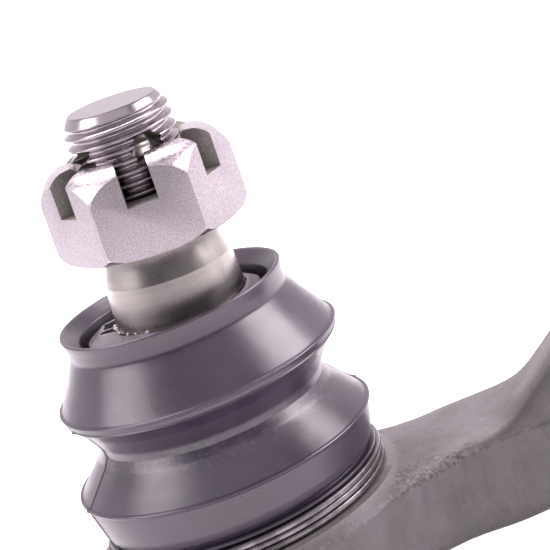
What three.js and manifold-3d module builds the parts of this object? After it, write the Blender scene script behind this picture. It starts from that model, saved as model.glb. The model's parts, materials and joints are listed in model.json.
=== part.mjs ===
// Outer tie rod end: a forged socket with a female threaded shank, a tapered ball stud with a
// slotted nut, a bellows dust boot, and the seats, spring and cover that hold the ball.
// Millimetres. Origin: middle of the end cover's flat outer face. +Z: socket axis, towards the
// stud. +X: along the arm, towards the shank's threaded end.
import * as THREE from 'three';
import { mergeVertices } from 'three/addons/utils/BufferGeometryUtils.js';
import Module from 'manifold-3d';

const wasm = await Module();
wasm.setup();

// ---- Driving dimensions ----------------------------------------------------------------------

const FIT_GAP = 0.3; // clearance kept between neighbouring pieces

const BALL = { height: 15, radius: 11, flat: 9.8 }; // flat: ball centre to its ground-off bottom
const STUD_LEAN = THREE.MathUtils.degToRad(2.21); // the stud rests leaning towards the arm

// Socket: heights above the cover's face
const EYE = { radius: 18.9, baseRadius: 18.2, top: 24, parting: 22, bottom: 0.2, bore: 13.4 };
const COLLAR = { radius: 14.9, top: 27, mouth: 12.6, throat: 10.4 };
const CRIMP = { inner: 11.4, thickness: 0.5 };

// Shank, along +X at the height of the forging's parting plane
const SHANK = { radius: 10.5, end: 92, socketRadius: 6.2, socketDepth: 34, chamfer: 0.9 };
const FLATS = { halfWidth: 9.5, start: 72, end: 85 };
// The arm rises sooner on its -Y side: this much further along X for each millimetre of Y
const RISE_SKEW = 0.4;

// Ball stud, measured up its own axis from the ball centre
const STUD = {
  neckRadius: 6, neckTop: 20, taperFoot: 25, taperTop: 38.1, coneTop: 41.3, top: 57,
  taperSmallRadius: 7.35, taperPerMillimetre: 0.05, coneRadius: 6.5,
  threadRadius: 5.92, tipRadius: 5.1, tipChamfer: 0.9,
};
const PIN_HOLES = { radius: 1.9, height: 51.8, angles: [-65, 25] }; // degrees about the stud axis

// Slotted nut, on the stud axis
const NUT = {
  acrossFlats: 19, bottom: 41.6, top: 52, slotFloor: 47.3, slotWidth: 3.5, turn: -1.55,
  topFaceRadius: 8, topChamfer: 2.05, bottomFaceRadius: 9.2, bottomChamfer: 1.77,
  countersink: 7.1, topCountersink: 6.6,
};

const CLAMP_RING = { inner: 16.4, outer: 17.5, bottom: 24.4, top: 26.4, grooves: 2 };
const TOP_RING = { inner: 8.15, outer: 10.1, bottom: 30.2, top: 32.6 }; // up the stud axis
const BOOT = { bendStart: 27.4, bendEnd: 44 };

const FINE = 40; // sides of the round parts that show
const COARSE = 32; // sides of the hidden and small round parts

// ---- Colours and finishes --------------------------------------------------------------------

const FINISHES = {
  forging: { color: 0x77706b, roughness: 0.62, metalness: 0.7 },
  turnedSteel: { color: 0xb4aca6, roughness: 0.28, metalness: 1 },
  platedSteel: { color: 0xcac4c6, roughness: 0.4, metalness: 0.9 },
  rubber: { color: 0x4b4452, roughness: 0.5, metalness: 0 },
  greyRing: { color: 0x7d7886, roughness: 0.6, metalness: 0 },
  springSteel: { color: 0x55505a, roughness: 0.35, metalness: 1 },
  coverSteel: { color: 0x7a756f, roughness: 0.5, metalness: 0.9 },
  seatResin: { color: 0xd8d2bd, roughness: 0.5, metalness: 0 },
};

// ---- Helpers ---------------------------------------------------------------------------------

// A body turned about +Z. The outline is [radius, height] pairs: up the outside, down the inside.
function turned(outline, sides) {
  const points = outline.map(([radius, height]) => new THREE.Vector2(radius, height));
  const geometry = new THREE.LatheGeometry(points, sides);
  geometry.rotateX(Math.PI / 2);
  return geometry;
}

// The same for a ring, whose outline closes on itself away from the axis.
function turnedRing(outline, sides) {
  return turned([...outline, outline[0]], sides);
}

// Points of an arc about the ball centre, from one height to another (heights from that centre).
function ballArc(radius, fromHeight, toHeight, steps) {
  const start = Math.asin(fromHeight / radius);
  const end = Math.asin(toHeight / radius);
  const points = [];
  for (let i = 0; i <= steps; i += 1) {
    const angle = start + ((end - start) * i) / steps;
    points.push([radius * Math.cos(angle), radius * Math.sin(angle)]);
  }
  return points;
}

function raised(points, lift) {
  return points.map(([radius, height]) => [radius, height + lift]);
}

// A three.js geometry as a solid that can be joined or cut.
function solid(geometry) {
  geometry.deleteAttribute('normal');
  geometry.deleteAttribute('uv');
  const welded = mergeVertices(geometry, 1e-4);
  const corners = welded.index.array;
  const triangles = [];
  for (let i = 0; i < corners.length; i += 3) {
    const [a, b, c] = [corners[i], corners[i + 1], corners[i + 2]];
    if (a !== b && b !== c && c !== a) triangles.push(a, b, c);
  }
  const mesh = new wasm.Mesh({
    numProp: 3,
    vertProperties: welded.attributes.position.array,
    triVerts: new Uint32Array(triangles),
  });
  return new wasm.Manifold(mesh);
}

function geometryOf(body) {
  const mesh = body.getMesh();
  const geometry = new THREE.BufferGeometry();
  geometry.setAttribute('position', new THREE.BufferAttribute(mesh.vertProperties, 3));
  geometry.setIndex(new THREE.BufferAttribute(mesh.triVerts, 1));
  geometry.computeVertexNormals();
  return geometry;
}

function named(name, geometry, finish) {
  const mesh = new THREE.Mesh(geometry, new THREE.MeshStandardMaterial(FINISHES[finish]));
  mesh.name = name;
  return mesh;
}

// A round bar of the given radius from one point to another.
function bar(from, to, radius, sides) {
  const start = new THREE.Vector3(...from);
  const span = new THREE.Vector3(...to).sub(start);
  const geometry = new THREE.CylinderGeometry(radius, radius, span.length(), sides);
  const up = new THREE.Vector3(0, 1, 0);
  geometry.applyQuaternion(new THREE.Quaternion().setFromUnitVectors(up, span.clone().normalize()));
  geometry.translate(...start.addScaledVector(span, 0.5).toArray());
  return geometry;
}

function smoothStep(from, to, value) {
  return THREE.MathUtils.smoothstep(value, from, to);
}

// ---- Socket forging --------------------------------------------------------------------------

// One cross-section of the arm: a rounded box that is split at the parting plane.
function armSection(station, sides) {
  const points = [];
  const skew = RISE_SKEW * smoothStep(20, 30, station.x) * (1 - smoothStep(46, 60, station.x));
  for (let i = 0; i < sides; i += 1) {
    const angle = (2 * Math.PI * i) / sides;
    const across = Math.cos(angle);
    const up = Math.sin(angle);
    const above = up > 0;
    const power = 2 / (above ? station.topPower : station.bottomPower);
    const height = above ? station.above : station.below;
    const y = station.half * Math.sign(across) * Math.abs(across) ** power;
    const z = EYE.parting + height * Math.sign(up) * Math.abs(up) ** power;
    points.push(new THREE.Vector3(station.x + skew * y, y, z));
  }
  return points;
}

// Skins a row of equal-sided sections, with a fan on each end.
function loft(sections) {
  const sides = sections[0].length;
  const corners = sections.flat();
  const index = [];
  for (let s = 0; s + 1 < sections.length; s += 1) {
    for (let i = 0; i < sides; i += 1) {
      const next = (i + 1) % sides;
      const a = s * sides + i;
      const b = s * sides + next;
      index.push(a, b, b + sides, a, b + sides, a + sides);
    }
  }
  const last = corners.length - sides;
  for (let i = 1; i + 1 < sides; i += 1) {
    index.push(0, i + 1, i);
    index.push(last, last + i, last + i + 1);
  }
  const geometry = new THREE.BufferGeometry().setFromPoints(corners);
  geometry.setIndex(index);
  return geometry;
}

// The arm leaves the eye as a flat-topped neck and rises into the round shank.
function armAndShank() {
  const neck = (x, half, above, topPower, below, bottomPower) => ({
    x, half, above, topPower, below, bottomPower,
  });
  const r = SHANK.radius;
  const bevel = SHANK.chamfer;
  const stations = [
    neck(6, 10.5, 1.8, 8, 10.4, 5),
    neck(16, 8.6, 1.8, 8, 10.4, 5),
    neck(20, 7.6, 1.6, 7, 10.4, 5),
    neck(25, 7.2, 1.4, 6, 10.5, 4.5),
    neck(31, 7.2, 1.5, 6, 10.5, 4),
    neck(33.5, 7.2, 2.1, 6, 10.5, 3.8),
    neck(35.5, 7.3, 3.6, 5, 10.5, 3.4),
    neck(37.5, 7.4, 5.2, 4.5, 10.5, 3.2),
    neck(40, 7.6, 7.6, 4, 10.5, 3),
    neck(43.5, 8.4, 9.6, 3, 10.5, 2.6),
    neck(48, 9.6, 10.4, 2.3, 10.5, 2.2),
    neck(54, r, r, 2, r, 2),
    neck(SHANK.end - bevel, r, r, 2, r, 2),
    neck(SHANK.end, r - bevel, r - bevel, 2, r - bevel, 2),
  ];
  return solid(loft(stations.map((station) => armSection(station, 28))));
}

// It is turned half a side about its axis, so that a flat side faces along the arm: lying down, the
// part rests on that side's lower edge and on the end of the shank, and doesn't rock.
function eyeBody() {
  const collarEdge = 0.4;
  const outside = turned([
    [0, EYE.bottom],
    [15, EYE.bottom],
    [17.3, 1.8],
    [EYE.baseRadius, 4.5],
    [EYE.radius, EYE.parting],
    [17.6, EYE.top],
    [COLLAR.radius, EYE.top],
    [COLLAR.radius, COLLAR.top - collarEdge],
    [COLLAR.radius - collarEdge, COLLAR.top],
    [0, COLLAR.top],
  ], FINE);
  outside.rotateZ(Math.PI / FINE);
  return solid(outside);
}

// The space inside: seat bore, throat that keeps the ball in, and a mouth that the neck swings in.
function eyeCavity() {
  return solid(turned([
    [0, -1],
    [CRIMP.inner, -1],
    [CRIMP.inner, EYE.bottom + CRIMP.thickness],
    [EYE.bore, EYE.bottom + CRIMP.thickness],
    [EYE.bore, 19.2],
    [COLLAR.throat, 20.9],
    [COLLAR.throat, 21.6],
    [COLLAR.mouth, COLLAR.top],
    [COLLAR.mouth, COLLAR.top + 1],
    [0, COLLAR.top + 1],
  ], FINE));
}

function shankSocket() {
  const { end, socketDepth, socketRadius } = SHANK;
  const drilled = turned([
    [0, -2],
    [socketRadius, 0],
    [socketRadius, socketDepth - 1],
    [socketRadius + 2, socketDepth + 1],
    [0, socketDepth + 1],
  ], COARSE);
  drilled.rotateY(Math.PI / 2);
  drilled.translate(end - socketDepth, 0, EYE.parting);
  return solid(drilled);
}

function wrenchFlat(side) {
  const depth = 4;
  const block = new THREE.BoxGeometry(FLATS.end - FLATS.start, depth, 30);
  block.translate((FLATS.start + FLATS.end) / 2, side * (FLATS.halfWidth + depth / 2), EYE.parting);
  return solid(block);
}

function housing() {
  const forged = eyeBody().add(armAndShank());
  const machined = forged
    .subtract(eyeCavity())
    .subtract(shankSocket())
    .subtract(wrenchFlat(1))
    .subtract(wrenchFlat(-1));
  return named('housing', geometryOf(machined), 'forging');
}

// ---- What the socket holds -------------------------------------------------------------------

function endCover() {
  return named('end_cover', turned([
    [0, 0],
    [9.5, 0],
    [11, 1],
    [EYE.bore - FIT_GAP, 1],
    [EYE.bore - FIT_GAP, 2.3],
    [10.5, 2.3],
    [9.2, 1.6],
    [0, 1.6],
  ], COARSE), 'coverSteel');
}

function discSpring() {
  const thickness = 0.45;
  const foot = 1.95;
  const rim = 2.8;
  return named('disc_spring', turnedRing([
    [5.2, foot],
    [11.6, rim],
    [11.6, rim + thickness],
    [5.2, foot + thickness],
  ], COARSE), 'springSteel');
}

// A cup with an open middle, so that the ball's ground-off bottom can tilt past it.
function lowerBallSeat() {
  const cup = raised(ballArc(BALL.radius + FIT_GAP, -2.1, -9.9, 6), BALL.height);
  const holeRadius = cup[cup.length - 1][0];
  const foot = 3.55;
  return named('lower_ball_seat', turnedRing([
    [holeRadius, foot],
    [EYE.bore - 1, foot],
    [EYE.bore - FIT_GAP, foot + 0.75],
    [EYE.bore - FIT_GAP, cup[0][1]],
    ...cup,
  ], COARSE), 'seatResin');
}

function upperBallSeat() {
  const cup = raised(ballArc(BALL.radius + FIT_GAP, 5.3, -1.8, 6), BALL.height);
  const foot = cup[cup.length - 1][1];
  return named('upper_ball_seat', turnedRing([
    [EYE.bore - FIT_GAP, foot],
    [EYE.bore - FIT_GAP, 18.8],
    [10.6, cup[0][1]],
    ...cup,
  ], COARSE), 'seatResin');
}

// ---- Ball stud and nut, about the stud's own axis --------------------------------------------

function ballStud() {
  const s = STUD;
  const neckJoin = Math.sqrt(BALL.radius ** 2 - s.neckRadius ** 2);
  const taperLength = s.taperTop - s.taperFoot;
  const taperLarge = s.taperSmallRadius + s.taperPerMillimetre * taperLength;
  let body = solid(turned([
    [0, -BALL.flat],
    ...ballArc(BALL.radius, -BALL.flat, neckJoin, 12),
    [s.neckRadius, s.neckTop],
    [taperLarge, s.taperFoot],
    [s.taperSmallRadius, s.taperTop],
    [s.coneRadius, s.coneTop],
    [s.threadRadius, s.coneTop],
    [s.threadRadius, s.top - s.tipChamfer],
    [s.tipRadius, s.top],
    [0, s.top],
  ], FINE));
  for (const degrees of PIN_HOLES.angles) {
    const angle = THREE.MathUtils.degToRad(degrees);
    const reach = 9;
    const end = [reach * Math.cos(angle), reach * Math.sin(angle), PIN_HOLES.height];
    const start = [-end[0], -end[1], end[2]];
    body = body.subtract(solid(bar(start, end, PIN_HOLES.radius, 16)));
  }
  return named('ball_stud', geometryOf(body), 'turnedSteel');
}

function castleNut() {
  const n = NUT;
  const height = n.top - n.bottom;
  const middle = (n.top + n.bottom) / 2;
  const cornerRadius = n.acrossFlats / 2 / Math.cos(Math.PI / 6);
  const hexagon = new THREE.CylinderGeometry(cornerRadius, cornerRadius, height + 1, 6);
  hexagon.rotateX(Math.PI / 2);
  hexagon.rotateZ(Math.PI / 6);
  hexagon.translate(0, 0, middle);
  const rounding = turned([
    [0, n.bottom],
    [n.bottomFaceRadius, n.bottom],
    [cornerRadius + 0.02, n.bottom + n.bottomChamfer],
    [cornerRadius + 0.02, n.top - n.topChamfer],
    [n.topFaceRadius, n.top],
    [0, n.top],
  ], FINE);
  const boreRadius = STUD.threadRadius + FIT_GAP;
  const bore = turned([
    [0, n.bottom - 1],
    [n.countersink, n.bottom - 1],
    [n.countersink, n.bottom],
    [boreRadius, n.bottom + n.countersink - boreRadius],
    [boreRadius, n.top + boreRadius - n.topCountersink],
    [n.topCountersink, n.top],
    [n.topCountersink, n.top + 1],
    [0, n.top + 1],
  ], COARSE);
  let body = solid(hexagon).intersect(solid(rounding)).subtract(solid(bore));
  for (let pair = 0; pair < 3; pair += 1) {
    const slot = new THREE.BoxGeometry(n.slotWidth, 30, n.top - n.slotFloor + 1);
    slot.translate(0, 0, (n.top + 1 + n.slotFloor) / 2);
    slot.rotateZ((pair * Math.PI) / 3);
    body = body.subtract(solid(slot));
  }
  const nut = named('castle_nut', geometryOf(body), 'platedSteel');
  nut.rotation.z = THREE.MathUtils.degToRad(n.turn);
  return nut;
}

// ---- Dust boot and its rings -----------------------------------------------------------------

// Leans the upper part of the boot with the stud: nothing at the foot, fully at the top.
function leanWithStud(geometry) {
  const position = geometry.attributes.position;
  const pivot = new THREE.Vector3(0, 0, BALL.height);
  const axis = new THREE.Vector3(0, 1, 0);
  const point = new THREE.Vector3();
  for (let i = 0; i < position.count; i += 1) {
    point.fromBufferAttribute(position, i);
    const share = smoothStep(BOOT.bendStart, BOOT.bendEnd, point.z);
    point.sub(pivot).applyAxisAngle(axis, STUD_LEAN * share).add(pivot);
    position.setXYZ(i, point.x, point.y, point.z);
  }
  return geometry;
}

// Two convolutions between the clamped foot and the flared sealing lip.
function dustBoot() {
  const outside = [
    [15.25, 24.35],
    [16.05, 24.35],
    [16.05, 26.7],
    [17.1, 26.9],
    [17.1, 27.5],
    [15.7, 28.1],
    [16.6, 28.9],
    [17.4, 31.3],
    [17.2, 31.9],
    [13.1, 36.3],
    [13.2, 37.4],
    [16.2, 40.6],
    [16.4, 41.3],
    [12.1, 47.2],
    [13, 49.4],
  ];
  const inside = [
    [12.4, 49.6],
    [11, 47.4],
    [10.7, 45.6],
    [10.55, 44.4],
    [11.2, 44],
    [14.4, 41],
    [11.6, 37.6],
    [11.5, 36.2],
    [15.3, 31.8],
    [15.5, 31],
    [14.2, 28.6],
    [15.25, 27.5],
  ];
  const geometry = turnedRing([...outside, ...inside], FINE);
  return named('dust_boot', leanWithStud(geometry), 'rubber');
}

function bootTopRing() {
  const { inner, outer, bottom, top } = TOP_RING;
  const bevel = 0.4;
  return named('boot_top_ring', turnedRing([
    [inner, bottom],
    [outer, bottom],
    [outer, top - bevel],
    [outer - bevel, top],
    [inner + bevel, top],
    [inner, top - bevel],
  ], COARSE), 'greyRing');
}

// A flat spring wire wound in a few close turns.
function bootClampRing() {
  const { inner, outer, bottom, top, grooves } = CLAMP_RING;
  const turnHeight = (top - bottom) / (grooves + 1);
  const groove = 0.2;
  const outline = [[inner, bottom], [outer, bottom]];
  for (let i = 1; i <= grooves; i += 1) {
    const z = bottom + i * turnHeight;
    outline.push([outer, z - groove], [outer - groove, z], [outer, z + groove]);
  }
  outline.push([outer, top], [inner, top]);
  return named('boot_clamp_ring', turnedRing(outline, FINE), 'springSteel');
}

// ---- Assembly --------------------------------------------------------------------------------

const tieRodEnd = new THREE.Group();
tieRodEnd.add(housing(), endCover(), discSpring(), lowerBallSeat(), upperBallSeat());
tieRodEnd.add(bootClampRing(), dustBoot());

const onStudAxis = new THREE.Group();
onStudAxis.position.z = BALL.height;
onStudAxis.rotation.y = STUD_LEAN;
onStudAxis.add(ballStud(), castleNut(), bootTopRing());
tieRodEnd.add(onStudAxis);

export default tieRodEnd;
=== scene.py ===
"""Looks for an outer tie rod end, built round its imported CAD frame.

Lengths here are in millimetres and MM turns them into Blender's metres. In the frame, Z is the
socket's axis with zero on the end cover's face, and the arm runs along +X. The stud and its nut
are made about the stud's own axis, with the ball's centre as zero.
"""
import json
import math
import random

import bmesh
import bpy
import numpy as np
from mathutils import Matrix, Vector, noise


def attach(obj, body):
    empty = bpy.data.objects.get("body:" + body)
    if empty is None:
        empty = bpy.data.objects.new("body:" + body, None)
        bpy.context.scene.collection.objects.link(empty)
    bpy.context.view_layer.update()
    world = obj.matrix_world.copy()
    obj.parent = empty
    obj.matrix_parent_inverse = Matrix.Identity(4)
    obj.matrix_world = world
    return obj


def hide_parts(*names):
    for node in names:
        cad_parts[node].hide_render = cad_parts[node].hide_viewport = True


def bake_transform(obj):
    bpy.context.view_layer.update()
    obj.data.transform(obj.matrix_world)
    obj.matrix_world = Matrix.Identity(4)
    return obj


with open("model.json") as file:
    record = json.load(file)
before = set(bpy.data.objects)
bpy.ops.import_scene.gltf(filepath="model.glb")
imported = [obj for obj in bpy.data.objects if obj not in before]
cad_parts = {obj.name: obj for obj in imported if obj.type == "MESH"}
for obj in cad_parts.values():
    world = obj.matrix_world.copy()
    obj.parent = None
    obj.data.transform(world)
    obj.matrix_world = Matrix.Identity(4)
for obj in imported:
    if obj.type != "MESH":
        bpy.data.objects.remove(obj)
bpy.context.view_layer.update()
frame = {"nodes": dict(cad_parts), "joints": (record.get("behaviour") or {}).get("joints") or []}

MM = 0.001
joints = {joint["name"]: joint for joint in frame["joints"]}
BALL_CENTRE = Vector(joints["stud_spin"]["pos_m"])
STUD_DIRECTION = Vector(joints["stud_spin"]["axis"]).normalized()
STUD_FRAME = (
    Matrix.Translation(BALL_CENTRE)
    @ Vector((0, 0, 1)).rotation_difference(STUD_DIRECTION).to_matrix().to_4x4()
)
STUD_LEAN = math.atan2(STUD_DIRECTION.x, STUD_DIRECTION.z)

# ---- Driving dimensions, in millimetres ------------------------------------------------------

PARTING = 22.0  # height of the forging's parting plane, and of the shank's axis
EYE_RADIUS = 18.9
SHANK_RADIUS = 10.5
SHANK_END = 92.0
RISE_SKEW = 0.4  # the arm rises sooner on its -Y side: X shift for each millimetre of Y

STUD_THREAD = {"major": 6.08, "pitch": 1.25, "depth": 0.78, "from": 43.0}
STUD_TOP = {"height": 57.1, "radius": 5.05, "flare": 0.62}  # the thread's end and its chamfer
SHANK_THREAD = {"major": 7.0, "pitch": 1.5, "depth": 0.82, "from": 2.0}
SHANK_BORE_DEPTH = 34.0
WRENCH_FLATS = {"half_width": 9.5, "from": 72, "to": 85}
EYE_BORE = 13.4  # radius of the bore that the ball seats, the spring and the cover sit in
PIN_HOLES = {"radius": 1.95, "height": 51.8, "angles": (-65, 25)}
NUT = {
    "across_flats": 19.0, "bottom": 41.6, "top": 52.0, "slot_floor": 47.3, "slot_width": 3.5,
    "turn": -1.55, "bore": 6.2,
    "top_face": 7.6, "top_drop": 4.0, "bottom_face": 9.0, "bottom_rise": 1.4, "squareness": 1.85,
}
VALLEY = 36.0  # height of the waist between the boot's two folds, where its two halves meet
SEAT_HEIGHT = 23.1  # of the ledge that the spring ring rests on, at its middle
SEAT_TILT = 1.5  # degrees that the boot's seat leans, lower away from the arm
RIM_HEIGHT = 40.3  # lower edge of the upper fold's rim
SEAM_ANGLES = (-164, 16)  # the boot's mould seams, degrees about the socket's axis


# ---- Mesh helpers ----------------------------------------------------------------------------

def smoothstep(low, high, value):
    t = np.clip((value - low) / (high - low), 0, 1)
    return t * t * (3 - 2 * t)


def rounded(corners, closed=False, step=14):
    """Turns (radius, height, fillet) corners into an outline with an arc at each filleted one."""
    points = []
    count = len(corners)
    for i, (radius, height, fillet) in enumerate(corners):
        here = np.array((radius, height), float)
        if fillet == 0 or (not closed and i in (0, count - 1)):
            points.append(here)
            continue
        before = np.array(corners[i - 1][:2], float) - here
        after = np.array(corners[(i + 1) % count][:2], float) - here
        long_before, long_after = np.linalg.norm(before), np.linalg.norm(after)
        before /= long_before
        after /= long_after
        half = 0.5 * math.acos(float(np.clip(before @ after, -1, 1)))
        nearly_straight = half > math.radians(89)
        if nearly_straight:
            points.append(here)
            continue
        reach = min(fillet / math.tan(half), 0.48 * long_before, 0.48 * long_after)
        arc_radius = reach * math.tan(half)
        middle = before + after
        centre = here + middle / np.linalg.norm(middle) * arc_radius / math.sin(half)
        first = here + before * reach - centre
        last = here + after * reach - centre
        start = math.atan2(first[1], first[0])
        sweep = math.atan2(first[0] * last[1] - first[1] * last[0], float(first @ last))
        steps = max(2, math.ceil(abs(math.degrees(sweep)) / step))
        for k in range(steps + 1):
            angle = start + sweep * k / steps
            points.append(centre + arc_radius * np.array((math.cos(angle), math.sin(angle))))
    return points


def refined(outline, longest, closed=False):
    """The same outline with its long segments divided."""
    ends = outline[1:] + outline[:1] if closed else outline[1:]
    points = []
    for a, b in zip(outline, ends):
        a, b = np.asarray(a, float), np.asarray(b, float)
        steps = max(1, math.ceil(np.linalg.norm(b - a) / longest))
        points += [a + (b - a) * k / steps for k in range(steps)]
    return points if closed else points + [np.asarray(outline[-1], float)]


def even_angles(sides):
    return np.linspace(0, 2 * math.pi, sides, endpoint=False)


def mesh_object(name, points, faces, weld=1e-7):
    mesh = bpy.data.meshes.new(name)
    mesh.from_pydata((np.asarray(points) * MM).tolist(), [], faces)
    work = bmesh.new()
    work.from_mesh(mesh)
    bmesh.ops.remove_doubles(work, verts=work.verts, dist=weld)
    bmesh.ops.recalc_face_normals(work, faces=work.faces)
    work.to_mesh(mesh)
    work.free()
    piece = bpy.data.objects.new(name, mesh)
    bpy.context.scene.collection.objects.link(piece)
    return piece


def turned(name, outline, angles=192, closed=False, shape=None):
    """A body turned about Z from (radius, height) points: up the outside, down the inside.
    `shape` may move the points: it gets arrays of angle, radius and height, and returns x, y, z."""
    theta = even_angles(angles) if isinstance(angles, int) else np.asarray(angles)
    outline = np.asarray(outline, float)
    angle, radius = np.meshgrid(theta, outline[:, 0])
    height = np.repeat(outline[:, 1:2], len(theta), axis=1)
    if shape:
        x, y, z = shape(angle, radius, height)
    else:
        x, y, z = radius * np.cos(angle), radius * np.sin(angle), height
    points = np.stack((x, y, z), axis=-1).reshape(-1, 3)
    rows, count = angle.shape
    return mesh_object(name, points, grid_faces(rows, count, closed))


def grid_faces(rows, count, closed_rows):
    faces = []
    for row in range(rows if closed_rows else rows - 1):
        a = row * count
        b = (row + 1) % rows * count
        faces += [(a + j, a + (j + 1) % count, b + (j + 1) % count, b + j) for j in range(count)]
    return faces


def skinned(name, sections):
    """Skins rings of equal point counts, with a flat cap at each end."""
    rows, count = len(sections), len(sections[0])
    faces = grid_faces(rows, count, False)
    faces.append(tuple(range(count))[::-1])
    faces.append(tuple(range((rows - 1) * count, rows * count)))
    return mesh_object(name, np.concatenate(sections), faces)


def box(name, low, high):
    xs, ys, zs = zip(low, high)
    corners = [(x, y, z) for x in xs for y in ys for z in zs]
    faces = [(0, 1, 3, 2), (4, 6, 7, 5), (0, 4, 5, 1), (2, 3, 7, 6), (0, 2, 6, 4), (1, 5, 7, 3)]
    return mesh_object(name, corners, faces)


def bake(piece):
    """Applies the piece's modifiers and its placement to its mesh."""
    bpy.context.view_layer.update()
    depsgraph = bpy.context.evaluated_depsgraph_get()
    mesh = bpy.data.meshes.new_from_object(piece.evaluated_get(depsgraph))
    piece.modifiers.clear()
    piece.data = mesh
    piece.data.transform(piece.matrix_world)
    piece.matrix_world = Matrix.Identity(4)
    return piece


def combine(piece, tool, operation="DIFFERENCE"):
    modifier = piece.modifiers.new("combine", "BOOLEAN")
    modifier.operation = operation
    modifier.solver = "EXACT"
    modifier.object = tool
    bake(piece)
    bpy.data.objects.remove(tool)
    return piece


def smooth(piece, sharp=32):
    piece.data.shade_smooth()
    piece.data.set_sharp_from_angle(angle=math.radians(sharp))
    return piece


def coordinates(piece):
    points = np.empty(len(piece.data.vertices) * 3)
    piece.data.vertices.foreach_get("co", points)
    return points.reshape(-1, 3) / MM


def set_coordinates(piece, points):
    piece.data.vertices.foreach_set("co", (points * MM).ravel())
    piece.data.update()


def normals(piece):
    vectors = np.empty(len(piece.data.vertices) * 3)
    piece.data.vertices.foreach_get("normal", vectors)
    return vectors.reshape(-1, 3)


def bumps(points, size, seed):
    """Smooth noise from -1 to 1 at each point, with lumps of about `size` millimetres."""
    shift = Vector((seed * 17.3, seed * 5.9, seed * 11.1))
    return np.array([noise.noise(Vector(p) / size + shift) for p in points])


def along_x(piece, x, z):
    """Turns a piece made about Z so that it lies about a line along X."""
    piece.data.transform(
        Matrix.Translation((x * MM, 0, z * MM)) @ Matrix.Rotation(math.radians(90), 4, "Y")
    )
    return piece


def thread_radius(thread, angle, height):
    """Radius of a right-hand thread's surface, running out smoothly at its lower end."""
    turn = (height - thread["from"]) / thread["pitch"] - angle / (2 * math.pi)
    crest = np.abs(turn % 1 - 0.5) * 2
    flank = np.clip((crest - 0.2) / 0.62, 0, 1)
    runout = 1 - smoothstep(0, 2 * thread["pitch"], height - thread["from"])
    return thread["major"] - thread["depth"] * (1 - np.maximum(flank, runout))


# ---- Finishes --------------------------------------------------------------------------------

class Finish:
    """A material under construction. Each call adds one node and returns its output."""

    def __init__(self, name):
        self.material = bpy.data.materials.new(name)
        self.material.use_nodes = True
        self.tree = self.material.node_tree
        self.tree.nodes.clear()
        self.object = self.add("TexCoord").outputs["Object"]

    def add(self, kind, settings=None, **sockets):
        node = self.tree.nodes.new("ShaderNode" + kind)
        for key, value in (settings or {}).items():
            setattr(node, key, value)
        for key, value in sockets.items():
            self.join(node.inputs[key.replace("_", " ")], value)
        return node

    def join(self, socket, value):
        if isinstance(value, bpy.types.NodeSocket):
            self.tree.links.new(value, socket)
        else:
            socket.default_value = value

    def math(self, operation, a, b=0.0, clamp=False):
        node = self.add("Math", {"operation": operation, "use_clamp": clamp})
        self.join(node.inputs[0], a)
        self.join(node.inputs[1], b)
        return node.outputs[0]

    def stretched(self, x, y, z):
        node = self.add("VectorMath", {"operation": "MULTIPLY"})
        self.join(node.inputs[0], self.object)
        self.join(node.inputs[1], (x, y, z))
        return node.outputs[0]

    def grain(self, size, detail=3.0, roughness=0.55, vector=None):
        """Noise from 0 to 1 whose lumps are about `size` millimetres."""
        node = self.add(
            "TexNoise", Vector=vector or self.object, Scale=1 / (size * MM), Detail=detail,
            Roughness=roughness,
        )
        return node.outputs["Fac"]

    def range(self, value, low, high, to_low=0.0, to_high=1.0):
        node = self.add("MapRange", {"clamp": True, "interpolation_type": "SMOOTHSTEP"})
        for key, number in (("Value", value), ("From Min", low), ("From Max", high),
                            ("To Min", to_low), ("To Max", to_high)):
            self.join(node.inputs[key], number)
        return node.outputs[0]

    def blend(self, share, a, b):
        node = self.add("Mix", {"data_type": "RGBA"})
        self.join(node.inputs[0], share)
        self.join(node.inputs[6], a)
        self.join(node.inputs[7], b)
        return node.outputs[2]

    def position(self):
        return self.add("SeparateXYZ", Vector=self.object).outputs

    def reach(self):
        """Distance from the socket's axis."""
        node = self.add("VectorMath", {"operation": "LENGTH"})
        self.join(node.inputs[0], self.stretched(1, 1, 0))
        return node.outputs["Value"]

    def bump(self, height, depth, normal=None):
        """`depth` is how high the bumps are, in millimetres."""
        sockets = {"Height": height, "Distance": depth * MM, "Strength": 1.0}
        if normal:
            sockets["Normal"] = normal
        return self.add("Bump", **sockets).outputs[0]

    def surface(self, **sockets):
        shader = self.add("BsdfPrincipled", **sockets)
        output = self.add("OutputMaterial")
        self.tree.links.new(shader.outputs[0], output.inputs[0])
        return self.material


def grey(level, tint=(1.0, 1.0, 1.0)):
    return (level * tint[0], level * tint[1], level * tint[2], 1.0)


WARM = (1.03, 0.98, 0.93)
LILAC = (1.02, 0.94, 1.0)


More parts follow.
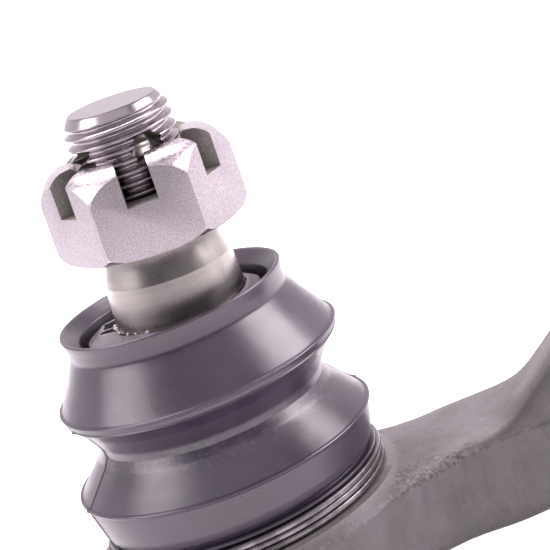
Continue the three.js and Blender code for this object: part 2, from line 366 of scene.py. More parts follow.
def forged_steel():
    f = Finish("forged_steel")
    fine = f.grain(0.3, 4, 0.65)
    blotches = f.grain(5, 4, 0.6)
    streaks = f.grain(1.2, 3, 0.6, f.stretched(1, 1, 0.25))
    colour = f.blend(f.range(blotches, 0.3, 0.7), grey(0.125, WARM), grey(0.16, LILAC))
    colour = f.blend(f.range(streaks, 0.45, 0.75, 0, 0.35), colour, grey(0.08, WARM))
    colour = f.blend(f.range(fine, 0.6, 0.8, 0, 0.4), colour, grey(0.28, LILAC))
    place = f.position()
    from_parting = f.math("ABSOLUTE", f.math("SUBTRACT", place["Z"], (PARTING + 0.3) * MM))
    flare = f.math(
        "MULTIPLY", f.range(place["X"], 13.5 * MM, 17 * MM), f.range(place["X"], 21 * MM, 28 * MM, 1, 0)
    )
    reach = f.range(flare, 0, 1, 0.12 * MM, 0.75 * MM)
    torn = f.math("LESS_THAN", from_parting, reach)
    specks = f.grain(0.45, 4, 0.7)
    pits = f.math("MULTIPLY", f.math("MULTIPLY", torn, flare), f.range(specks, 0.42, 0.56, 0.7, 0))
    glints = f.math("MULTIPLY", torn, f.range(specks, 0.52, 0.68, 0, 0.45))
    colour = f.blend(pits, colour, grey(0.07, WARM))
    colour = f.blend(glints, colour, grey(0.3, WARM))
    # Painted light: the ledge beside the boot's seat lies in the boot's shade, and its colour is made
    # lighter there to stand in for light. It is not wear.
    painted_light_ledge = f.math(
        "MULTIPLY", f.range(f.reach(), 16.8 * MM, 18.6 * MM, 1, 0),
        f.range(place["Z"], (SEAT_HEIGHT - 0.9) * MM, (SEAT_HEIGHT - 0.3) * MM),
    )
    worn = f.math("MULTIPLY", painted_light_ledge, f.range(fine, 0.3, 0.6, 0.5, 0.9))
    colour = f.blend(worn, colour, grey(0.26, WARM))
    normal = f.bump(fine, 0.05)
    normal = f.bump(f.grain(1.6, 3, 0.6), 0.08, normal)
    return f.surface(
        Base_Color=colour, Metallic=0.35, Normal=normal,
        Roughness=f.range(fine, 0.3, 0.7, 0.66, 0.5),
    )


def machined_forging():
    f = Finish("machined_forging")
    rings = f.grain(0.25, 2, 0.5, f.stretched(1, 0.02, 0.02))
    colour = f.blend(rings, grey(0.3, WARM), grey(0.42, WARM))
    return f.surface(
        Base_Color=colour, Metallic=1.0, Roughness=0.36, Normal=f.bump(rings, 0.02),
    )


def turned_steel():
    """The tool's marks run round the stud, so reflections smear along it."""
    f = Finish("turned_steel")
    rings = f.grain(0.5, 2, 0.6, f.stretched(0.02, 0.02, 1))
    stains = f.grain(4, 2, 0.5)
    colour = f.blend(f.range(stains, 0.35, 0.7), grey(0.34, WARM), grey(0.4, WARM))
    colour = f.blend(f.range(rings, 0.4, 0.7, 0, 0.25), colour, grey(0.28, WARM))
    tangent = f.add("Tangent", {"direction_type": "RADIAL", "axis": "Z"}).outputs[0]
    return f.surface(
        Base_Color=colour, Metallic=1.0, Tangent=tangent, Anisotropic=0.5,
        Anisotropic_Rotation=0.25, Roughness=f.range(stains, 0.3, 0.7, 0.25, 0.31),
    )


def threaded_steel():
    f = Finish("threaded_steel")
    fine = f.grain(0.22, 3, 0.6)
    colour = f.blend(fine, grey(0.33, LILAC), grey(0.4, LILAC))
    return f.surface(
        Base_Color=colour, Metallic=1.0, Normal=f.bump(fine, 0.0008),
        Roughness=f.range(fine, 0.3, 0.7, 0.2, 0.26),
    )


def drilled_steel():
    f = Finish("drilled_steel")
    fine = f.grain(0.3, 3, 0.6)
    colour = f.blend(fine, grey(0.2, WARM), grey(0.3, WARM))
    return f.surface(Base_Color=colour, Metallic=1.0, Normal=f.bump(fine, 0.01), Roughness=0.3)


def plated_flats():
    f = Finish("plated_flats")
    fine = f.grain(0.13, 3, 0.7)
    coarse = f.grain(0.4, 2, 0.5)
    height = f.math("ADD", fine, f.math("MULTIPLY", coarse, 0.5))
    colour = f.blend(f.range(fine, 0.4, 0.6), grey(0.27, LILAC), grey(0.5, LILAC))
    return f.surface(
        Base_Color=colour, Metallic=1.0, Normal=f.bump(height, 0.035),
        Roughness=f.range(fine, 0.3, 0.7, 0.34, 0.48),
    )


def plated_turned():
    f = Finish("plated_turned")
    fine = f.grain(0.4, 3, 0.6)
    colour = f.blend(fine, grey(0.58, LILAC), grey(0.68, LILAC))
    return f.surface(
        Base_Color=colour, Metallic=1.0, Normal=f.bump(fine, 0.003),
        Roughness=f.range(fine, 0.3, 0.7, 0.24, 0.34),
    )


def milled_slots():
    f = Finish("milled_slots")
    fine = f.grain(0.3, 4, 0.7)
    colour = f.blend(f.range(fine, 0.35, 0.7), grey(0.26, WARM), grey(0.4, WARM))
    return f.surface(
        Base_Color=colour, Metallic=0.6, Normal=f.bump(fine, 0.04), Roughness=0.5,
    )


def boot_rubber():
    f = Finish("boot_rubber")
    cloud = f.grain(4, 4, 0.6)
    dust = f.grain(0.5, 4, 0.7)
    smear_and_sheen_grain = f.grain(2.2, 3, 0.6, f.stretched(0.5, 0.5, 1.6))
    place = f.position()
    colour = f.blend(f.range(cloud, 0.3, 0.7), (0.029, 0.019, 0.037, 1), (0.039, 0.027, 0.049, 1))
    waist = f.math("ABSOLUTE", f.math("SUBTRACT", place["Z"], (VALLEY - 0.6) * MM))
    near_waist = f.range(waist, 0.4 * MM, 2.2 * MM, 1, 0)
    dusty = f.math("MULTIPLY", near_waist, f.range(dust, 0.5, 0.72))
    smear_and_sheen = f.math("MULTIPLY", near_waist, f.range(smear_and_sheen_grain, 0.45, 0.7))
    # Lighter smears near the waist: dust smears, and also painted sheen standing in for the rubber's
    # bright sheen there.
    colour = f.blend(f.math("MULTIPLY", smear_and_sheen, 0.16), colour, (0.2, 0.18, 0.2, 1))
    colour = f.blend(f.math("MULTIPLY", dusty, 0.28), colour, (0.3, 0.27, 0.31, 1))
    normal = f.bump(f.grain(5, 1, 0.5), 0.05, f.bump(dust, 0.003))
    return f.surface(
        Base_Color=colour, Normal=normal, IOR=1.75,
        Roughness=f.range(cloud, 0.3, 0.7, 0.27, 0.35),
    )


def boot_seam_shade():
    """The thin flash along the mould's joint, painted near-black: painted shade standing in for the
    shadow beside the seam's ridge.
    """
    f = Finish("boot_seam_shade")
    fine = f.grain(0.4, 3, 0.6)
    colour = f.blend(fine, (0.008, 0.006, 0.009, 1), (0.025, 0.02, 0.026, 1))
    return f.surface(
        Base_Color=colour, Normal=f.bump(fine, 0.02), Roughness=0.8, Specular_IOR_Level=0.1,
    )


def grey_ring_finish():
    f = Finish("grey_ring")
    fine = f.grain(0.4, 4, 0.7)
    lumps = f.grain(1.3, 3, 0.6)
    colour = f.blend(f.range(fine, 0.3, 0.7), (0.13, 0.115, 0.132, 1), (0.21, 0.19, 0.212, 1))
    normal = f.bump(lumps, 0.15, f.bump(fine, 0.04))
    return f.surface(Base_Color=colour, Normal=normal, Roughness=0.42)


def grease():
    f = Finish("grease")
    fine = f.grain(0.3, 2, 0.5)
    colour = f.blend(fine, (0.5, 0.46, 0.44, 1), (0.85, 0.8, 0.8, 1))
    return f.surface(Base_Color=colour, Normal=f.bump(fine, 0.03), Roughness=0.2)


def spring_steel():
    f = Finish("spring_steel")
    scratches = f.grain(0.5, 3, 0.6, f.stretched(1, 1, 0.3))
    worn = f.grain(3, 3, 0.6)
    colour = f.blend(f.range(worn, 0.4, 0.65), grey(0.14, LILAC), grey(0.25, LILAC))
    return f.surface(
        Base_Color=colour, Metallic=1.0, Normal=f.bump(scratches, 0.008),
        Roughness=f.range(worn, 0.35, 0.65, 0.42, 0.3),
    )


def cover_steel():
    f = Finish("cover_steel")
    fine = f.grain(0.4, 4, 0.6)
    stains = f.grain(4, 4, 0.6)
    colour = f.blend(f.range(stains, 0.35, 0.65), grey(0.26, WARM), grey(0.4, WARM))
    return f.surface(
        Base_Color=colour, Metallic=0.85, Normal=f.bump(fine, 0.03),
        Roughness=f.range(stains, 0.3, 0.7, 0.35, 0.5),
    )


def seat_resin():
    f = Finish("seat_resin")
    fine = f.grain(0.8, 3, 0.5)
    colour = f.blend(fine, (0.62, 0.58, 0.46, 1), (0.74, 0.7, 0.58, 1))
    return f.surface(
        Base_Color=colour, Normal=f.bump(fine, 0.02), Roughness=0.42, Subsurface_Weight=0.1,
    )


def pale_floor():
    f = Finish("pale_floor")
    colour = f.blend(f.grain(60, 2, 0.5), grey(0.9), grey(0.93))
    return f.surface(Base_Color=colour, Roughness=0.9)


def paint(piece, *materials):
    piece.data.materials.clear()
    for material in materials:
        piece.data.materials.append(material)


def settle(piece, body, slot, *nodes):
    """The piece rides on a body and stands for CAD nodes. `slot` is not used."""
    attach(piece, body)
    if nodes:
        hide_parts(*nodes)


# ---- Camera, light and floor -----------------------------------------------------------------

LIGHT_TINT = (1.0, 0.91, 0.97)


def add_camera():
    """Looks down at the socket from the -Y side, rolled so that the stud leans left."""
    target = Vector((12.15, 0, 47.32)) * MM
    distance = 249.19 * MM
    azimuth, elevation, roll = (math.radians(a) for a in (2.01, 14.79, -21.13))
    forward = Vector((
        math.sin(azimuth) * math.cos(elevation),
        math.cos(azimuth) * math.cos(elevation),
        -math.sin(elevation),
    ))
    level = forward.cross(Vector((0, 0, 1))).normalized()
    above = level.cross(forward)
    right = level * math.cos(roll) + above * math.sin(roll)
    up = above * math.cos(roll) - level * math.sin(roll)
    data = bpy.data.cameras.new("camera")
    data.lens = 146.5
    data.sensor_width = 36
    data.clip_start = 0.005
    data.clip_end = 50
    camera = bpy.data.objects.new("camera", data)
    camera.matrix_world = (
        Matrix.Translation(target - forward * distance)
        @ Matrix((right, up, -forward)).transposed().to_4x4()
    )
    bpy.context.scene.collection.objects.link(camera)
    bpy.context.scene.camera = camera


def add_softbox(name, place, size, radiance, target=(0.01, 0, 0.04), spread=180):
    """An area light whose brightness is `radiance` times that of a white room's wall."""
    data = bpy.data.lights.new(name, "AREA")
    data.shape = "RECTANGLE"
    data.size, data.size_y = size
    data.energy = radiance * math.pi * size[0] * size[1]
    data.spread = math.radians(spread)
    data.color = LIGHT_TINT
    light = bpy.data.objects.new(name, data)
    light.location = place
    direction = Vector(target) - Vector(place)
    light.rotation_euler = direction.to_track_quat("-Z", "Y").to_euler()
    bpy.context.scene.collection.objects.link(light)


def add_room():
    """A white room, dimmer overhead and on the -Y side, behind the camera."""
    world = bpy.data.worlds.new("room")
    bpy.context.scene.world = world
    world.use_nodes = True
    tree = world.node_tree
    tree.nodes.clear()
    direction = tree.nodes.new("ShaderNodeSeparateXYZ")
    tree.links.new(tree.nodes.new("ShaderNodeTexCoord").outputs["Generated"], direction.inputs[0])

    def ramp(axis, start, end, first, last):
        node = tree.nodes.new("ShaderNodeMapRange")
        node.interpolation_type = "SMOOTHSTEP"
        tree.links.new(direction.outputs[axis], node.inputs["Value"])
        for key, number in (("From Min", start), ("From Max", end), ("To Min", first), ("To Max", last)):
            node.inputs[key].default_value = number
        return node.outputs[0]

    brightness = tree.nodes.new("ShaderNodeMath")
    brightness.operation = "MULTIPLY"
    tree.links.new(ramp("Y", -0.75, 0.1, 0.16, 1.15), brightness.inputs[0])
    tree.links.new(ramp("Z", 0.25, 0.9, 1.0, 0.3), brightness.inputs[1])
    background = tree.nodes.new("ShaderNodeBackground")
    background.inputs["Color"].default_value = (*LIGHT_TINT, 1)
    tree.links.new(brightness.outputs[0], background.inputs["Strength"])
    output = tree.nodes.new("ShaderNodeOutputWorld")
    tree.links.new(background.outputs[0], output.inputs[0])


def add_stage():
    bpy.context.scene.view_settings.view_transform = "Standard"
    add_room()
    half = 4000
    floor = box("floor", (-half, -half, -40), (half, half, 0))
    paint(floor, pale_floor())
    add_softbox("background", (0.05, 0.95, 1.5), (1.7, 1.1), 4.6, target=(0.05, 0.9, 0), spread=80)
    add_softbox("right", (0.63, -0.05, 0.43), (0.52, 0.34), 8.0)
    add_softbox("left", (-0.56, -0.1, 0.5), (0.42, 0.4), 5.0)
    add_softbox("front", (-0.06, -0.4, 0.72), (1.0, 0.5), 0.9)
    add_softbox("overhead", (-0.16, 0.2, 0.85), (0.3, 0.35), 5)


# ---- Socket forging --------------------------------------------------------------------------

# x, half width, height above the parting plane and its squareness, the same below it
ARM = np.array([
    (6, 16.5, 1.6, 1.8, 10.4, 5),
    (11, 15.0, 1.6, 1.8, 10.4, 5),
    (13, 13.4, 1.6, 1.8, 10.4, 5),
    (15.4, 11.6, 1.5, 1.8, 10.35, 5),
    (17, 10.4, 1.5, 1.8, 10.3, 5.5),
    (18.5, 9.9, 1.5, 1.8, 10.3, 6),
    (20.5, 9.2, 1.6, 1.9, 10.35, 6),
    (22.5, 8.6, 1.85, 2.0, 10.45, 6),
    (25, 8.1, 2.05, 2.2, 10.6, 6),
    (31, 8.0, 2.1, 2.4, 10.95, 6),
    (33.5, 8.0, 2.75, 3.2, 10.95, 5.5),
    (35.5, 8.0, 4.1, 5.0, 10.9, 5),
    (37.5, 8.0, 5.5, 6.5, 10.9, 4.5),
    (40, 8.1, 7.7, 6.5, 10.8, 4),
    (43.5, 8.6, 9.6, 5.0, 10.7, 3.2),
    (48, 9.6, 10.4, 3.0, 10.5, 2.4),
    (54, SHANK_RADIUS, SHANK_RADIUS, 2, SHANK_RADIUS, 2),
    (SHANK_END + 1, SHANK_RADIUS, SHANK_RADIUS, 2, SHANK_RADIUS, 2),
])


def arm_section(x, sides=120):
    """One ring of the arm: a rounded box that is split at the parting plane. Its sizes are averaged
    over a short stretch, so that the arm's outline has no corners."""
    stretch = 1.2
    spread = np.linspace(x - stretch, x + stretch, 7)
    half, above, top, below, bottom = (
        np.interp(spread, ARM[:, 0], ARM[:, column]).mean() for column in range(1, 6)
    )
    skew = RISE_SKEW * smoothstep(20, 30, x) * (1 - smoothstep(46, 60, x))
    angle = even_angles(sides)
    across, up = np.cos(angle), np.sin(angle)
    power = np.where(up > 0, 2 / top, 2 / bottom)
    y = half * np.sign(across) * np.abs(across) ** power
    z = PARTING + np.where(up > 0, above, below) * np.sign(up) * np.abs(up) ** power
    return np.stack((x + skew * y, y, z), axis=-1)


def raw_forging():
    eye = turned("housing_forging", rounded([
        (0, 0.2, 0), (15, 0.2, 1.5), (17.4, 1.8, 2), (18.2, 4.5, 3), (EYE_RADIUS, PARTING, 0),
        (17.6, 23.5, 0.4), (15.2, 25.0, 0.5), (15.2, 27.3, 0.5), (0, 27.3, 0),
    ]), 192)
    stations = np.arange(ARM[0, 0], SHANK_END + 1.01, 0.75)
    arm = skinned("arm", [arm_section(x) for x in stations])
    combine(eye, arm, "UNION")
    remesh = eye.modifiers.new("remesh", "REMESH")
    remesh.mode = "VOXEL"
    remesh.voxel_size = 0.42 * MM
    return bake(eye)


def refine_flash(piece, reach=0.9):
    """Divides the faces near the parting plane, so that they can carry the trimmed flash."""
    work = bmesh.new()
    work.from_mesh(piece.data)
    edges = {
        edge for face in work.faces
        if abs(face.calc_center_median().z / MM - PARTING - 0.2) < reach
        for edge in face.edges
    }
    bmesh.ops.subdivide_edges(work, edges=list(edges), cuts=2, use_grid_fill=True)
    bmesh.ops.triangulate(work, faces=[face for face in work.faces if len(face.verts) > 4])
    work.to_mesh(piece.data)
    work.free()
    piece.data.update()


def roughen_forging(piece):
    """Hammer-scale unevenness all over, and a torn, trimmed flash along the parting plane."""
    points = coordinates(piece)
    outward = normals(piece)
    move = 0.07 * bumps(points, 5, 1) + 0.035 * bumps(points, 1.3, 2)
    points += outward * move[:, None]
    near = np.abs(points[:, 2] - PARTING) < 1.5
    band = points[near]
    ragged = bumps(band, 1.1, 3) + 0.6 * bumps(band, 0.45, 4)
    level = PARTING + 0.12 * bumps(band, 6, 5)
    bead = np.exp(-(((band[:, 2] - level) / 0.22) ** 2)) * np.clip(0.14 + 0.2 * ragged, 0.02, 0.45)
    torn_zone = smoothstep(14, 17, band[:, 0]) * (1 - smoothstep(23, 27, band[:, 0]))
    above = smoothstep(0, 0.3, band[:, 2] - PARTING) * (1 - smoothstep(0.9, 1.4, band[:, 2] - PARTING))
    torn = 0.24 * torn_zone * above * ragged
    sideways = outward[near] * np.array((1, 1, 0))
    length = np.linalg.norm(sideways, axis=1)
    points[near] += sideways * ((bead + torn) * (length > 0.5))[:, None]
    set_coordinates(piece, points)


def cavity():
    return turned("cavity", rounded([
        (0, -1, 0), (11.4, -1, 0), (11.4, 0.7, 0), (EYE_BORE, 0.7, 0), (EYE_BORE, 19.2, 0.6),
        (10.4, 20.9, 0.3), (10.4, 21.6, 0.3), (12.6, 27, 0), (12.6, 29, 0), (0, 29, 0),
    ]), 128)


def leaning(piece):
    """Leans a piece made about Z onto the boot's seat."""
    pivot = Matrix.Translation((0, 0, SEAT_HEIGHT * MM))
    piece.data.transform(pivot @ Matrix.Rotation(math.radians(-SEAT_TILT), 4, "Y") @ pivot.inverted())
    return piece


def collar_trim():
    """Turns the boot's seat and the spring ring's shoulder."""
    low = SEAT_HEIGHT
    return leaning(turned("collar_trim", rounded([
        (14.9, low, 0.1), (19.6, low, 0), (19.6, 30, 0), (0, 30, 0), (0, 27, 0), (14.4, 27, 0),
        (14.9, 26.5, 0),
    ]), 160))


def end_trim():
    """Faces the shank's end and turns its chamfer. It is made about Z, with the end's face at 0."""
    piece = turned("end_trim", [
        (0, 0), (SHANK_RADIUS - 0.9, 0), (SHANK_RADIUS + 0.5, -1.4), (SHANK_RADIUS + 4, -1.4),
        (SHANK_RADIUS + 4, 4), (0, 4),
    ], 128)
    return along_x(piece, SHANK_END, PARTING)


def shank_bore():
    """The female thread's cutter, made about Z with its deepest end at 0."""
    thread = SHANK_THREAD
    depth = SHANK_BORE_DEPTH
    core = thread["major"] - thread["depth"]
    rows = [(0, -2.0), (core, 0.0), (core, 1.0)]
    rows += [(core, height) for height in np.arange(1.2, depth - 0.8, thread["pitch"] / 8)]
    rows += [(thread["major"] + 0.3, depth), (thread["major"] + 0.3, depth + 2), (0, depth + 2)]

    def shape(angle, radius, height):
        cut = thread_radius(thread, angle, height)
        grooved = np.maximum(radius, np.minimum(cut, thread["major"]))
        started = (height > 3) & (height < depth - 0.5)
        radius = np.where(started, grooved, radius)
        return radius * np.cos(angle), radius * np.sin(angle), height

    return along_x(turned("shank_bore", rows, 96, shape=shape), SHANK_END - depth, PARTING)


def machined_faces(piece, forged, machined):
    """The bore, the collar above the boot's seat, the shank's end and thread, and the wrench flats
    get the bright finish. The seat's edge keeps the forging's own finish, painted lighter there as
    painted light on a ledge in the boot's shade."""
    paint(piece, forged, machined)
    flats = WRENCH_FLATS
    for face in piece.data.polygons:
        x, y, z = face.center / MM
        reach = math.hypot(x, y)
        seat = SEAT_HEIGHT + x * math.tan(math.radians(SEAT_TILT))
        on_collar = reach < 15.0 and z > seat + 0.02
        in_bore = reach < EYE_BORE + 0.1
        in_thread = x > 50 and math.hypot(y, z - PARTING) < 8
        on_end = x > SHANK_END - 1.5
        along_flat = flats["from"] - 0.1 < x < flats["to"] + 0.1
        on_flat = (
            along_flat and abs(abs(y) - flats["half_width"]) < 0.02 and abs(face.normal.y) > 0.99
        )
        face.material_index = int(on_collar or in_bore or in_thread or on_end or on_flat)


def add_housing():
    piece = raw_forging()
    refine_flash(piece)
    roughen_forging(piece)
    combine(piece, cavity())
    combine(piece, collar_trim())
    combine(piece, shank_bore())
    combine(piece, end_trim())
    flats = WRENCH_FLATS
    for side in (1, -1):
        low, high = sorted((side * flats["half_width"], side * 14))
        combine(piece, box("flat", (flats["from"], low, 5), (flats["to"], high, 39)))
    machined_faces(piece, forged_steel(), machined_forging())
    smooth(piece, 38)
    settle(piece, "housing", "forged_steel", "housing")


def add_cover():
    piece = turned("pressed_cover", rounded([
        (0, 0, 0), (9.5, 0, 0.8), (11.0, 1.0, 0.4), (13.1, 1.0, 0.1), (13.1, 2.3, 0.2),
        (10.5, 2.3, 0.6), (9.2, 1.6, 0.6), (0, 1.6, 0),
    ]), 144)
    paint(piece, cover_steel())
    smooth(piece)
    settle(piece, "housing", "cover_steel", "end_cover")


# ---- Spring ring round the boot's foot -------------------------------------------------------

def add_clamp_ring():
    """A flat wire wound in nearly three close turns, each a little off from the last."""
    inner, outer = 15.55, 16.65
    turns, pitch, thickness = 2.6, 0.75, 0.7
    start = math.radians(-150)
    steps = 150
    corner = 0.22
    half_wide, half_high = (outer - inner) / 2, thickness / 2
    profile = np.array(rounded([
        (-half_wide, -half_high, corner), (half_wide, -half_high, corner),
        (half_wide, half_high, corner), (-half_wide, half_high, corner),
    ], closed=True, step=20))
    sections = []
    for k in range(round(turns * steps) + 1):
        turn = k / steps
        angle = 2 * math.pi * turn + start
        wobble = 0.07 * noise.noise(Vector((turn * 2.3, 0.4, 0))) + 0.04 * math.sin(3.1 * turn)
        across = (inner + outer) / 2 + wobble + profile[:, 0]
        middle = SEAT_HEIGHT + 0.05 + half_high + pitch * turn
        sections.append(np.stack((
            across * math.cos(angle), across * math.sin(angle), middle + profile[:, 1],
        ), axis=-1))
    piece = leaning(skinned("boot_clamp_coil", sections))
    paint(piece, spring_steel())
    smooth(piece, 40)
    settle(piece, "housing", "spring_steel", "boot_clamp_ring")


# ---- Dust boot -------------------------------------------------------------------------------

def boot_angles():
    """Even angles, with closer ones across each mould seam."""
    offsets = (-1.6, -1.0, -0.45, 0, 0.45, 1.0, 1.6)
    close = np.radians([seam + offset for seam in SEAM_ANGLES for offset in offsets])
    nearest_allowed = 0.02

    def gap(angle):
        return min(abs((angle - c + math.pi) % (2 * math.pi) - math.pi) for c in close)

    apart = [angle for angle in even_angles(216) if gap(angle) > nearest_allowed]
    return np.sort(np.concatenate((apart, close % (2 * math.pi))))


def boot_shift(height):
    """How far the resting boot's rings sit off the socket's axis, pushed by the leaning stud."""
    return 0.48 * smoothstep(31, 41, height) - 0.26 * smoothstep(43, 50, height)


def from_seam(angle):
    """Degrees from the nearer mould seam."""
    apart = [(angle - math.radians(a) + math.pi) % (2 * math.pi) - math.pi for a in SEAM_ANGLES]
    return np.degrees(np.min(np.abs(apart), axis=0))


def boot_shape(outer_limit):
    """Places the boot's points: its rings' shift, its seams, and its hand-trimmed unevenness."""
    def shape(angle, radius, height):
        outside = (radius > outer_limit(height)) & (height < RIM_HEIGHT)
        ridge = 0.14 * np.exp(-((from_seam(angle) / 0.5) ** 2))
        nub = ridge * 2 * np.exp(-(((height - RIM_HEIGHT + 0.2) / 0.25) ** 2))
        wave = 0.05 * np.sin(3 * angle + 0.15 * height) + 0.04 * np.sin(7 * angle + 1)
        radius = radius + np.where(outside, ridge + nub, 0) + wave * smoothstep(28, 33, height)
        x = radius * np.cos(angle)
        sink = x * math.tan(math.radians(SEAT_TILT)) * (1 - smoothstep(26.8, 31.5, height))
        return x + boot_shift(height), radius * np.sin(angle), height + sink
    return shape


def finish_bellow(piece, rubber, seam, outer_limit):
    """Rubber all over, with a near-black painted shade along the seam's ridge."""
    paint(piece, rubber, seam)
    for face in piece.data.polygons:
        x, y, z = face.center / MM
        x -= float(boot_shift(z))
        outside = math.hypot(x, y) > outer_limit(z) and z < RIM_HEIGHT
        # Faces on the seam's ridge take the painted-shade finish.
        face.material_index = int(outside and from_seam(math.atan2(y, x)) < 0.3)
    smooth(piece, 50)
    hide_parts("dust_boot")


def add_lower_bellow(rubber, seam):
    outline = rounded([
        (15.0, 23.6, 0.1), (15.45, 23.6, 0.1), (15.45, 25.5, 0.1), (16.0, 25.5, 0.12),
        (16.27, 25.78, 0.14), (16.2, 26.02, 0.1), (15.8, 26.06, 0.05), (15.42, 26.1, 0.1),
        (15.44, 26.38, 0.1), (15.74, 26.42, 0.05), (15.98, 26.7, 0.1), (16.35, 27.6, 1.5),
        (17.05, 30.5, 2.0), (17.15, 31.0, 0.1), (17.34, 31.1, 0.08), (17.46, 31.3, 0.12),
        (17.34, 31.5, 0.1), (17.05, 31.46, 0.06), (16.9, 31.62, 0.08),
        (16.2, 32.35, 1.5), (13.9, 34.9, 1.6), (13.32, VALLEY, 0), (11.7, VALLEY, 0),
        (12.3, 34.4, 0.8), (15.5, 31.9, 0.6), (15.5, 31, 0.5), (14.4, 28.6, 0.4), (15.0, 26.4, 0.3),
    ], closed=True, step=12)

    def outer_limit(height):
        return 12.6 + 3.0 * smoothstep(35.6, 32, height) - 0.3 * smoothstep(28, 27, height)

    piece = turned(
        "dust_boot_lower", refined(outline, 0.7, closed=True), boot_angles(), closed=True,
        shape=boot_shape(outer_limit),
    )
    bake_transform(piece)
    finish_bellow(piece, rubber, seam, outer_limit)


def add_upper_bellow(rubber, seam):
    rim = RIM_HEIGHT
    outline = rounded([
        (11.7, VALLEY, 0), (13.32, VALLEY, 0), (13.45, 36.9, 1.2), (14.65, 38.9, 2.0),
        (15.75, rim - 0.15, 0.3), (16.1, rim, 0.1), (16.2, rim + 0.12, 0.06), (16.1, rim + 0.25, 0.1),
        (16.22, rim + 0.8, 0.2), (16.44, rim + 0.88, 0.08), (16.5, rim + 1.05, 0.1),
        (16.38, rim + 1.2, 0.1), (16.18, rim + 1.16, 0.06), (16.05, rim + 1.3, 0.1),
        (12.75, 47.1, 0.9), (12.8, 48.3, 1.2),
        (13.1, 49.4, 0.15), (12.98, 49.58, 0.1), (12.62, 49.5, 0.2), (11.15, 48.3, 0.5),
        (11.0, 47.0, 0.3), (10.8, 44.9, 0.3), (8.2, 44.9, 0.2), (8.2, 44.3, 0.2), (10.9, 44.1, 0.5),
        (14.6, 41.0, 0.5), (12.3, 37.4, 0.8),
    ], closed=True, step=12)

    def outer_limit(_height):
        return 12.4

    piece = turned(
        "dust_boot_upper", refined(outline, 0.7, closed=True), boot_angles(), closed=True,
        shape=boot_shape(outer_limit),
    )
    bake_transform(piece)
    finish_bellow(piece, rubber, seam, outer_limit)


# hole: where the ragged hole beside the stud is, in degrees about the socket's axis
MOUTH_RING = {"low": 45.1, "high": 48.2, "outer": 10.2, "inner": 7.75, "hole": 166}
GREASE_ANGLES = (142, 147, 152, 156, 160, 171, 176, 181, 186, 191, 196, 202, 210, 221, 233)


def hole_depth(angle):
    """How far the ragged hole beside the stud reaches into the ring, with a thin web across it."""
    away = (angle - math.radians(MOUTH_RING["hole"]) + math.pi) % (2 * math.pi) - math.pi
    ragged = 0.16 * np.sin(23 * angle) + 0.1 * np.sin(41 * angle + 1)
    hole = (1.6 + ragged) * smoothstep(0.3, 0.2, np.abs(away))
    web = smoothstep(0.012, 0.03, np.abs(away - 0.1))
    return hole * web


def add_top_ring():
    """The ring in the boot's mouth. Its outside sits in the boot and its inside hugs the leaning
    stud, apart from a ragged hole."""
    low, high = MOUTH_RING["low"], MOUTH_RING["high"]
    boot_x = 0.26
    outline = rounded([
        (0, low, 0.2), (1, low, 0.1), (1, high, 0.4), (0, high, 0.1),
    ], closed=True, step=15)
    outline = [(float(np.clip(t, 0, 1)), z) for t, z in refined(outline, 0.25, closed=True)]

    def shape(angle, share, height):
        stud_x = (height - BALL_CENTRE.z / MM) * math.tan(STUD_LEAN)
        near = MOUTH_RING["inner"] + hole_depth(angle) + 0.05 * np.sin(9 * angle)
        edge = MOUTH_RING["outer"] - 0.7 * smoothstep(high - 0.9, high, height) ** 2
        edge = edge + 0.08 * np.sin(5 * angle) + 0.05 * np.sin(13 * angle)
        radius = near + (edge - near) * share
        x = boot_x * share + stud_x * (1 - share)
        sag = 0.45 * smoothstep(0.3, 1, share) + 0.1 * np.sin(6 * angle + 3 * share)
        return radius * np.cos(angle) + x, radius * np.sin(angle), height - sag * (height > high - 0.5)

    piece = turned("boot_mouth_ring", outline, 320, closed=True, shape=shape)
    paint(piece, grey_ring_finish())
    smooth(piece, 50)
    settle(piece, "boot_ring", "grey_ring", "boot_top_ring")


def add_grease():
    """Specks of grease squeezed out between the ring and the stud."""
    draw = random.Random(7)
    work = bmesh.new()
    high = MOUTH_RING["high"]
    stud_x = (high - BALL_CENTRE.z / MM) * math.tan(STUD_LEAN)
    for degrees in GREASE_ANGLES:
        angle = math.radians(degrees + draw.uniform(-1.5, 1.5))
        size = draw.uniform(0.13, 0.3)
        reach = 7.62 + draw.uniform(-0.1, 0.25)
        place = Vector((stud_x + reach * math.cos(angle), reach * math.sin(angle), high + 0.02))
        speck = bmesh.ops.create_icosphere(work, subdivisions=3, radius=size * MM)["verts"]
        for vertex in speck:
            lump = 1 + 0.35 * noise.noise(vertex.co / MM * 4 + Vector((degrees, 0, 0)))
            vertex.co = vertex.co * lump + place * MM
    mesh = bpy.data.meshes.new("stud_grease")
    work.to_mesh(mesh)
    work.free()
    piece = bpy.data.objects.new("stud_grease", mesh)
    bpy.context.scene.collection.objects.link(piece)
    paint(piece, grease())
    smooth(piece, 60)
    settle(piece, "boot_ring", "grey_ring")


# ---- Ball stud and nut -----------------------------------------------------------------------

